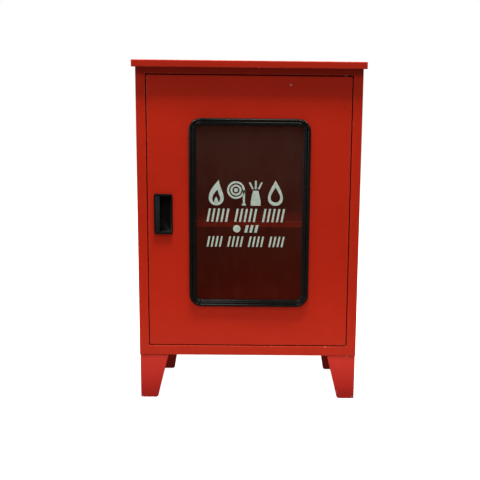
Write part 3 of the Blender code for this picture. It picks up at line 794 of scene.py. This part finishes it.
class BuildHinges(bpy.types.Operator):
    """Hinge pins, the plates that hold them, and the nylon bushes in the door"""
    bl_idname = "cabinet.build_hinges"
    bl_label = "Hinges"

    @staticmethod
    def standing(low, high, up):
        """Where a turned hinge part stands: on its box's floor, or upside down from its roof."""
        return centred(low, high, z=low.z if up > 0 else high.z) @ Matrix.Diagonal((1, 1, up, 1))

    def pin(self, node, up):
        """A headed pin, with its head away from the door."""
        low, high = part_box(node)
        chamfer = settings("hardware").chamfer
        head = (high.x - low.x) / 2
        radius, thick = head / 1.6, 0.002
        reach = high.z - low.z
        profile = [
            (0, 0), (radius - chamfer, 0), (radius, chamfer), (radius, reach - thick),
            (head - chamfer / 2, reach - thick), (head, reach - thick + chamfer / 2),
            (head, reach - chamfer), (head - chamfer, reach), (0, reach),
        ]
        return turned(profile, self.standing(low, high, up))

    def bush(self, node, up):
        """A sleeve in the door's folded edge, with a collar that bears against the hinge plate."""
        low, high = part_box(node)
        collar, sleeve, bore = (high.x - low.x) / 2, 0.0047, 0.0033
        tall, deep = high.z - low.z, 0.0045
        tiny, small, step = 0.0002, 0.0003, 0.0004
        profile = [
            (bore, small), (bore + small, 0), (sleeve - step, 0), (sleeve, step), (sleeve, deep),
            (collar - tiny, deep), (collar, deep + tiny), (collar, tall - 2 * small),
            (collar - step, tall - small), (sleeve, tall - small), (sleeve - small, tall),
            (bore + small, tall), (bore, tall - small),
        ]
        return turned(profile, self.standing(low, high, up), True)

    def execute(self, context):
        bush_nylon = nylon()
        for name, up in (("upper", 1), ("lower", -1)):
            node = name + "_hinge_plate"
            bm = merged_copy(node)
            round_edges(bm, sharp_edges(bm), settings("hardware").edge, 2)
            piece(node + "_block", bm, zinc(), "zinc_steel", "carcass", node)
            node = name + "_hinge_pin"
            piece(node + "_turned", self.pin(node, up), zinc(), "zinc_steel", "carcass", node, smooth=35)
            node = name + "_hinge_bush"
            piece(node + "_turned", self.bush(node, up), bush_nylon, "nylon", "door", node, smooth=35)
        return {"FINISHED"}


class BuildDoor(bpy.types.Operator):
    """The door's folded pan, and the rubber buttons that it closes on"""
    bl_idname = "cabinet.build_door"
    bl_label = "Door"

    def execute(self, context):
        piece("door_pan", folded("door_panel"), body_paint(), "red_paint", "door", "door_panel")
        for name in ("lower", "upper"):
            node = "door_bumper_" + name
            low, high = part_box(node)
            radius, tall = (high.x - low.x) / 2, high.y - low.y
            dome = arc((0, tall * 0.45), (radius, tall * 0.55), 0, 90, 6)
            place = centred(low, high, y=high.y) @ Matrix.Rotation(math.pi / 2, 4, "X")
            button = turned([(0, 0), (radius, 0)] + dome, place)
            piece(node + "_button", button, black_rubber(), "black_rubber", "carcass", node, smooth=35)
        return {"FINISHED"}


class BuildWindow(bpy.types.Operator):
    """The window rubber, its smoked glass, and the emblem on the glass"""
    bl_idname = "cabinet.build_window"
    bl_label = "Window"

    KINKS = (20, 70)
    KINK_WIDTH = 7
    CORNER_STEPS = 18
    PANE_EDGE = 0.0004

    def execute(self, context):
        window = settings("window")
        low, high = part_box("window_gasket")
        gasket = self.sweep(self.rubber_profile(), low, high, window.corner)
        self.pinch(gasket, low, high)
        piece("window_rubber", gasket, black_rubber(), "black_rubber", "door", "window_gasket", smooth=55)

        pane = merged_copy("window_glass")
        round_edges(pane, sharp_edges(pane), self.PANE_EDGE, 2)
        piece("window_pane", pane, tinted_glass(), "tinted_glass", "door", "window_glass")
        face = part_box("window_glass")[0].y
        piece("window_emblem", self.emblem(face), vinyl(), None, "door", smooth=30)
        return {"FINISHED"}

    @staticmethod
    def rubber_profile():
        """Points of (inset from the rubber's outer edge, depth behind the door's face), round the section."""
        glass_low, glass_high = (corner.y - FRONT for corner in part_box("window_glass"))
        gap, web, inner_web, back = GAP, 0.0072, 0.0093, 0.0060
        face = settings("window").face
        lobe = arc((0.0038, -0.0022), (0.0038, -0.0043), 180, 22, 12)
        filler = arc((0.0097, -0.0043), (0.0021, -0.0017), 158, 22, 7)
        lip = arc((0.0124, glass_low - gap), (0.0041, -0.0034), 98, 0, 8)
        behind = [
            (inner_web, glass_low - gap), (inner_web, glass_high + gap), (face, glass_high + gap),
            (face, back - 0.0015), (face - 0.0025, back), (0.0025, back), (0.0, back - 0.0015),
            (0.0, SHEET + gap), (web, SHEET + gap), (web, -gap),
        ]
        return [(0.0, -gap)] + lobe + filler + lip + behind

    def sweep(self, profile, low, high, corner):
        """Carry a closed profile round a rounded rectangle: straight up, round a corner, and on."""
        bm = new_mesh()
        start = [bm.verts.new((high.x - inset, FRONT + depth, low.z + corner)) for inset, depth in profile]
        edges = [bm.edges.new((start[i - 1], start[i])) for i in range(len(start))]
        across, up = high.x - low.x - 2 * corner, high.z - low.z - 2 * corner
        runs = ((0, 0, up), (-across, 0, 0), (0, 0, -up), (across, 0, 0))
        turns = (
            (high.x - corner, high.z - corner), (low.x + corner, high.z - corner),
            (low.x + corner, low.z + corner), (high.x - corner, low.z + corner),
        )
        for run, (x, z) in zip(runs, turns):
            made = bmesh.ops.extrude_edge_only(bm, edges=edges)["geom"]
            verts = {g for g in made if isinstance(g, bmesh.types.BMVert)}
            edges = [g for g in made if isinstance(g, bmesh.types.BMEdge) and set(g.verts) <= verts]
            bmesh.ops.translate(bm, vec=run, verts=list(verts))
            made = bmesh.ops.spin(
                bm, geom=list(verts) + edges, cent=(x, 0, z), axis=(0, -1, 0), angle=math.pi / 2,
                steps=self.CORNER_STEPS, use_merge=False,
            )["geom_last"]
            edges = [g for g in made if isinstance(g, bmesh.types.BMEdge)]
        bmesh.ops.remove_doubles(bm, verts=bm.verts, dist=MERGE)
        bmesh.ops.recalc_face_normals(bm, faces=bm.faces)
        return bm

    def pinch(self, bm, low, high):
        """Sink the face back in each corner, but for two kinks that stand out."""
        window = settings("window")
        for vert in bm.verts:
            x = max(low.x + window.corner - vert.co.x, vert.co.x - high.x + window.corner)
            z = max(low.z + window.corner - vert.co.z, vert.co.z - high.z + window.corner)
            if x <= 0 or z <= 0 or vert.co.y > FRONT - 0.001:
                continue
            turn = math.degrees(math.atan2(z, x))
            kink = sum(math.exp(-((turn - k) / self.KINK_WIDTH) ** 2) for k in self.KINKS)
            vert.co.y += window.pinch * (1 - kink) * min(1.0, (FRONT - vert.co.y) / 0.005)

    def emblem(self, y):
        """Four plain pictures over rows of slanted bars, with no lettering: flame, hose, nozzle, drop."""
        thick = settings("window").vinyl
        back = y - 0.00002
        shapes = new_mesh()

        def add(outline):
            add_mesh(shapes, plate(outline, back, thick))

        def add_ring(outer, inner):
            add_mesh(shapes, ring_plate(outer, inner, back, thick))

        def circle(x, z, radius):
            return arc((x, z), (radius, radius), 0, 345, 23)

        def drop(x, z, wide, tall, lean=0.0):
            points = []
            for i in range(28):
                t = 2 * math.pi * i / 28
                height = math.cos(t)
                swell = math.sin(t) * math.sin(t / 2) ** 1.4
                points.append((x + wide * swell + lean * max(0, height) ** 2, z + tall / 2 * height))
            return points

        def bar(x, z, wide, tall, slant=0.0):
            return [
                (x - wide / 2 - slant / 2, z - tall / 2), (x + wide / 2 - slant / 2, z - tall / 2),
                (x + wide / 2 + slant / 2, z + tall / 2), (x - wide / 2 + slant / 2, z + tall / 2),
            ]

        left, right = -0.0950, 0.0820
        row, half = 0.4845, 0.0290
        cell = (right - left) / 4
        flame, hose, nozzle, water = (left + cell * (i + 0.5) for i in range(4))

        inner_flame = drop(flame, row - 0.008, 0.0125, half * 1.05, 0.003)
        add_ring(drop(flame, row, 0.0235, 2 * half, 0.006), inner_flame)
        add(drop(flame, row - 0.0165, 0.0060, 0.0160))
        for radius in (0.0200, 0.0125):
            add_ring(circle(hose, row + 0.006, radius), circle(hose, row + 0.006, radius - 0.0045))
        add(circle(hose, row + 0.006, 0.0045))
        add(bar(hose + 0.0178, row - 0.0095, 0.0045, 0.0305))
        add(bar(hose + 0.0178, row - 0.0268, 0.0090, 0.0045))
        wide, tip, waist, end = 0.0110, 0.0060, row - 0.0185, row + 0.0050
        right_side = [(wide, row - half), (wide, waist), (tip, end)]
        left_side = [(-x, z) for x, z in reversed(right_side)]
        add([(nozzle + x, z) for x, z in right_side + left_side])
        for offset, tall, slant in ((-0.0100, 0.0150, -0.0070), (0.0, 0.0190, 0.0), (0.0100, 0.0150, 0.0070)):
            add(bar(nozzle + offset, row + 0.0085 + tall / 2, 0.0042, tall, slant))
        add_ring(drop(water, row, 0.0235, 2 * half), drop(water, row - 0.004, 0.0150, half * 1.20))

        long_row, low_row = (0.4333, 0.0300, 0.0046, 3, 5), (0.3730, 0.0240, 0.0040, 4, 4)
        for middle, tall, wide, groups, bars in (long_row, low_row):
            count = groups * (bars + 1) - 1
            for i in range(count):
                x = left + (right - left) * (i + 0.5) / count
                if i % (bars + 1) != bars:
                    add(bar(x, middle, wide, tall, wide * 1.2))
        middle, between = (left + right) / 2, 0.4025
        add(circle(middle - 0.020, between, 0.0085))
        for i in range(3):
            add(bar(middle + 0.002 + 0.0110 * i, between, 0.0062, 0.0170, 0.004))
        return shapes


class BuildHandle(bpy.types.Operator):
    """The recessed handle, its paddle and pin, and the clamp behind it"""
    bl_idname = "cabinet.build_handle"
    bl_label = "Handle"

    RIM = 0.0007

    def execute(self, context):
        hardware = settings("hardware")
        # The last argument is the Y where the painted shade of the recess begins.
        plastic = moulded("handle_plastic", hardware.plastic, 0.34, 1500, 0.03, FRONT + 0.001)
        lever = moulded("paddle_plastic", hardware.paddle, 0.38, 1500, 0.03, FRONT + 0.003)
        housing = merged_copy("handle_housing")
        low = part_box("handle_housing")[0]
        outward = sharp_edges(housing, True)
        rim = [e for e in outward if all(abs(v.co.y - low.y) < MERGE for v in e.verts)]
        round_edges(housing, rim, self.RIM, 3)
        piece("handle_cup", housing, plastic, "black_plastic", "door", "handle_housing")

        paddle = merged_copy("handle_paddle")
        round_edges(paddle, sharp_edges(paddle, True, SHORT), hardware.edge, 2)
        piece("handle_lever", paddle, lever, "black_plastic", "paddle", "handle_paddle", smooth=40)

        low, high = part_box("paddle_pin")
        radius, tall = (high.x - low.x) / 2, high.z - low.z
        chamfer = radius * 0.3
        profile = [
            (0, 0), (radius - chamfer, 0), (radius, chamfer), (radius, tall - chamfer),
            (radius - chamfer, tall), (0, tall),
        ]
        pin = turned(profile, centred(low, high, z=low.z))
        piece("paddle_pin_turned", pin, zinc(), "zinc_steel", "door", "paddle_pin", smooth=35)

        clamp = folded("clamp_bracket", CLAMP_SHEET)
        piece("clamp_strap", clamp, zinc(), "zinc_steel", "door", "clamp_bracket")
        for name in ("lower", "upper"):
            self.screw("handle_screw_" + name)
        return {"FINISHED"}

    @staticmethod
    def screw(node):
        """A pan-head screw with a six-pointed socket."""
        low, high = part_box(node)
        head, thick, shank = (high.x - low.x) / 2, 0.0024, 0.0015
        long = high.y - low.y
        seat = long - thick
        pitch = 0.0007
        profile = [(0, 0), (shank * 0.5, 0)]
        rise = 0.0004
        while rise + pitch < seat:
            profile += [(shank * 0.78, rise), (shank, rise + pitch / 2)]
            rise += pitch
        profile += [(shank, seat), (head, seat)]
        profile += arc((head * 0.55, long - thick * 0.55), (head * 0.45, thick * 0.55), 0, 90, 5)
        socket, depth = head * 0.42, thick * 0.6
        profile += [(socket, long), (socket, long - depth), (0, long - depth)]
        bm = turned(profile, centred(low, high, y=low.y) @ Matrix.Rotation(-math.pi / 2, 4, "X"))
        centre = Vector(((low.x + high.x) / 2, 0, (low.z + high.z) / 2))
        for vert in bm.verts:
            away = Vector((vert.co.x, 0, vert.co.z)) - centre
            if vert.co.y > high.y - thick * 0.7 and abs(away.length - socket) < MERGE * 4:
                points = 1 - 0.16 * (1 + math.cos(6 * math.atan2(away.z, away.x)))
                vert.co.x = centre.x + away.x * points
                vert.co.z = centre.z + away.z * points
        piece(node + "_turned", bm, zinc(), "zinc_steel", "door", node, smooth=35)


class BuildLatch(bpy.types.Operator):
    """The latch tongue, its guide and its spring"""
    bl_idname = "cabinet.build_latch"
    bl_label = "Latch"

    def execute(self, context):
        edge = settings("hardware").edge
        tongue = merged_copy("latch_tongue")
        round_edges(tongue, sharp_edges(tongue, True), edge, 2)
        piece("latch_bar", tongue, zinc(), "zinc_steel", "latch", "latch_tongue")
        guide = merged_copy("latch_guide")
        round_edges(guide, sharp_edges(guide, True, SHORT), edge, 2)
        piece("latch_channel", guide, zinc(), "zinc_steel", "door", "latch_guide")
        self.spring()
        return {"FINISHED"}

    @staticmethod
    def spring():
        """A compression spring, swept from a round of the wire along an even helix."""
        low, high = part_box("latch_spring")
        wire, turns, round_turn = 0.00035, 6, 20
        radius = (high.z - low.z) / 2 - wire
        centre = (low + high) / 2
        travel = high.x - low.x - 2 * wire
        bm = new_mesh()
        ring = bmesh.ops.create_circle(bm, cap_ends=True, radius=wire, segments=8)["verts"]
        bmesh.ops.transform(
            bm, verts=ring, space=Matrix(),
            matrix=Matrix.Translation((low.x + wire, centre.y + radius, centre.z)),
        )
        face = list({f for v in ring for f in v.link_faces})
        step = travel / (turns * round_turn)
        bmesh.ops.spin(
            bm, geom=face, cent=(0, centre.y, centre.z), axis=(1, 0, 0), dvec=(step, 0, 0),
            angle=2 * math.pi * turns, steps=turns * round_turn, use_merge=False,
        )
        bmesh.ops.recalc_face_normals(bm, faces=bm.faces)
        spring = piece("latch_coil", bm, zinc(), "zinc_steel", "door", "latch_spring", smooth=50)
        slide = next(j for j in frame["joints"] if j["name"] == "latch_slide")
        squeeze = max(slide["range_m"])
        long = high.x - low.x
        (long - squeeze) / long
        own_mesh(spring)


class BuildStage(bpy.types.Operator):
    """Floor, light and camera"""
    bl_idname = "cabinet.build_stage"
    bl_label = "Stage"

    @staticmethod
    def light(name, watts, place, target, size, shade, glossy=True):
        """An oblong lamp that the camera doesn't see, turned to its target."""
        data = bpy.data.lights.new(name, "AREA")
        data.energy = watts
        data.shape = "RECTANGLE"
        data.size, data.size_y = size
        data.color = shade
        lamp = bpy.data.objects.new(name, data)
        lamp.location = place
        lamp.visible_camera = False
        lamp.visible_glossy = glossy
        lamp.rotation_euler = (Vector(target) - Vector(place)).to_track_quat("-Z", "Y").to_euler()
        bpy.context.scene.collection.objects.link(lamp)

    def execute(self, context):
        stage = settings("stage")
        scene = context.scene
        bm = new_mesh()
        bmesh.ops.create_grid(bm, x_segments=8, y_segments=8, size=14)
        mesh = bpy.data.meshes.new("studio_floor")
        bm.to_mesh(mesh)
        bm.free()
        mesh.materials.append(floor_finish())
        floor = bpy.data.objects.new("studio_floor", mesh)
        scene.collection.objects.link(floor)
        floor.visible_diffuse = False
        floor.visible_glossy = False

        warm, pale, cool = (1.0, 0.96, 0.92), (1.0, 0.98, 0.96), (0.80, 0.90, 1.0)
        amber = (1.0, 0.72, 0.50)
        over = FRONT - 0.41
        self.light("ceiling_lamp", stage.lamp, (0.05, over, 3.12), (0.05, over, 0), (1.1, 0.30), warm, False)
        self.light("front_softbox", stage.softbox, (-0.3, -2.3, 3.5), (0, 0, 0.4), (1.8, 1.0), warm)
        self.light("side_window", stage.window, (-2.6, -1.0, 0.8), (0, 0, 0.45), (0.8, 1.2), cool)
        near = FRONT - 0.22
        above = (0, near + 0.1, 1.0)
        self.light("floor_bounce", stage.bounce, (0, near, 0.03), above, (1.0, 0.25), amber, False)
        for side in (-1, 1):
            corner, behind = (side * 1.8, -0.56, 2.3), (side * 2.6, 2.0, 1.8)
            self.light("high_corner", stage.corner, corner, (0, 0, 0.65), (0.24, 0.24), pale)
            self.light("rear_softbox", stage.rear, behind, (0, 0, 0.45), (1.4, 1.4), pale, False)

        world = bpy.data.worlds.new("studio")
        world.use_nodes = True
        nodes, links = world.node_tree.nodes, world.node_tree.links
        around, seen = nodes["Background"], nodes.new("ShaderNodeBackground")
        for background, strength in ((around, stage.sky), (seen, 1.0)):
            background.inputs["Color"].default_value = (1, 1, 1, 1)
            background.inputs["Strength"].default_value = strength
        path = nodes.new("ShaderNodeLightPath")
        choice = nodes.new("ShaderNodeMixShader")
        links.new(path.outputs["Is Camera Ray"], choice.inputs[0])
        links.new(around.outputs[0], choice.inputs[1])
        links.new(seen.outputs[0], choice.inputs[2])
        links.new(choice.outputs[0], nodes["World Output"].inputs["Surface"])
        scene.world = world
        scene.view_settings.view_transform = "Standard"

        data = bpy.data.cameras.new("camera")
        data.sensor_width = 36
        data.lens = stage.lens
        data.shift_x = stage.shift
        camera = bpy.data.objects.new("camera", data)
        turn = Matrix.Rotation(-stage.turn, 4, "Z") @ Matrix.Rotation(math.pi / 2 - stage.dip, 4, "X")
        camera.matrix_world = Matrix.Translation(stage.place) @ turn @ Matrix.Rotation(stage.roll, 4, "Z")
        scene.collection.objects.link(camera)
        scene.camera = camera
        return {"FINISHED"}


OPERATORS = (
    BuildCarcass, BuildLid, BuildLegs, BuildFasteners, BuildHinges, BuildDoor, BuildWindow, BuildHandle,
    BuildLatch, BuildStage,
)


class CabinetPanel(bpy.types.Panel):
    """The cabinet's operators and settings"""
    bl_idname = "VIEW3D_PT_cabinet"
    bl_label = "Standpipe cabinet"
    bl_space_type = "VIEW_3D"
    bl_region_type = "UI"
    bl_category = "Cabinet"

    def draw(self, context):
        for operator in OPERATORS:
            self.layout.operator(operator.bl_idname)
        for name in GROUPS:
            box = self.layout.box()
            box.label(text=name.capitalize())
            for key in GROUPS[name].__annotations__:
                box.prop(settings(name), key)


def register():
    for group in GROUPS.values():
        bpy.utils.register_class(group)
    for name, group in GROUPS.items():
        setattr(bpy.types.Scene, "cabinet_" + name, PointerProperty(type=group))
    for operator in OPERATORS:
        bpy.utils.register_class(operator)
    bpy.utils.register_class(CabinetPanel)


def unregister():
    bpy.utils.unregister_class(CabinetPanel)
    for operator in reversed(OPERATORS):
        bpy.utils.unregister_class(operator)
    for name, group in GROUPS.items():
        delattr(bpy.types.Scene, "cabinet_" + name)
        bpy.utils.unregister_class(group)


def main():
    register()
    for operator in OPERATORS:
        family, action = operator.bl_idname.split(".")
        getattr(getattr(bpy.ops, family), action)()


if __name__ == "__main__":
    main()
